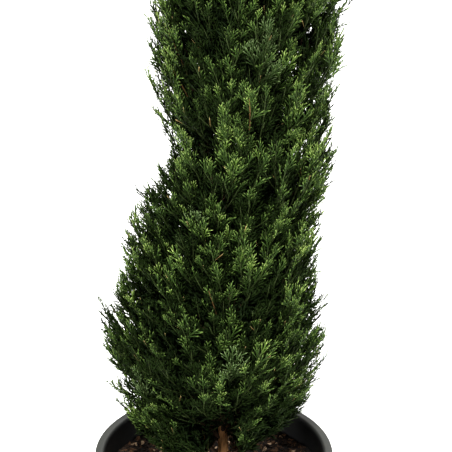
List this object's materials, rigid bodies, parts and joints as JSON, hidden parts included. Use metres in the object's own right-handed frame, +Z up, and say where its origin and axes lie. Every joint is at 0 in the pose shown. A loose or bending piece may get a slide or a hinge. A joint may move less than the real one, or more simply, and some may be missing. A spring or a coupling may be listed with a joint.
{
  "type": "potted italian cypress",
  "caption": "Narrow evergreen conifer with a dense column of scale-leaved sprays round a slim trunk, growing in a round nursery pot filled with bark soil.",
  "frame": {"origin": "middle of the pot's flat underside, on the floor", "axes": "+Z up along the pot's axis, -Y towards the viewer of the picture, +X to the viewer's right"},
  "size_m": [0.3, 0.3, 1.298],
  "materials": {
    "pot": "matte",
    "soil": "matte",
    "bark": "matte",
    "foliage": "matte"
  },
  "bodies": {
    "root": {"pot": "pot", "soil": "soil", "trunk": "bark", "bough_skirt_1": "bark", "bough_skirt_2": "bark", "bough_skirt_3": "bark", "bough_skirt_4": "bark", "bough_belly_1": "bark", "bough_belly_2": "bark", "bough_belly_3": "bark", "bough_belly_4": "bark", "bough_belly_5": "bark", "bough_flank_1": "bark", "bough_flank_2": "bark", "bough_flank_3": "bark", "bough_flank_4": "bark", "bough_waist_1": "bark", "bough_waist_2": "bark", "bough_waist_3": "bark", "bough_waist_4": "bark", "bough_shoulder_1": "bark", "bough_shoulder_2": "bark", "bough_shoulder_3": "bark", "bough_shoulder_4": "bark", "bough_neck_1": "bark", "bough_neck_2": "bark", "bough_neck_3": "bark", "bough_collar_1": "bark", "bough_collar_2": "bark", "bough_collar_3": "bark", "foliage_skirt_1": "foliage", "foliage_skirt_2": "foliage", "foliage_skirt_3": "foliage", "foliage_skirt_4": "foliage", "foliage_belly_1": "foliage", "foliage_belly_2": "foliage", "foliage_belly_3": "foliage", "foliage_belly_4": "foliage", "foliage_belly_5": "foliage", "foliage_flank_1": "foliage", "foliage_flank_2": "foliage", "foliage_flank_3": "foliage", "foliage_flank_4": "foliage", "foliage_waist_1": "foliage", "foliage_waist_2": "foliage", "foliage_waist_3": "foliage", "foliage_waist_4": "foliage", "foliage_shoulder_1": "foliage", "foliage_shoulder_2": "foliage", "foliage_shoulder_3": "foliage", "foliage_shoulder_4": "foliage", "foliage_neck_1": "foliage", "foliage_neck_2": "foliage", "foliage_neck_3": "foliage", "foliage_collar_1": "foliage", "foliage_collar_2": "foliage", "foliage_collar_3": "foliage", "foliage_spire": "foliage"}
  },
  "joints": []
}
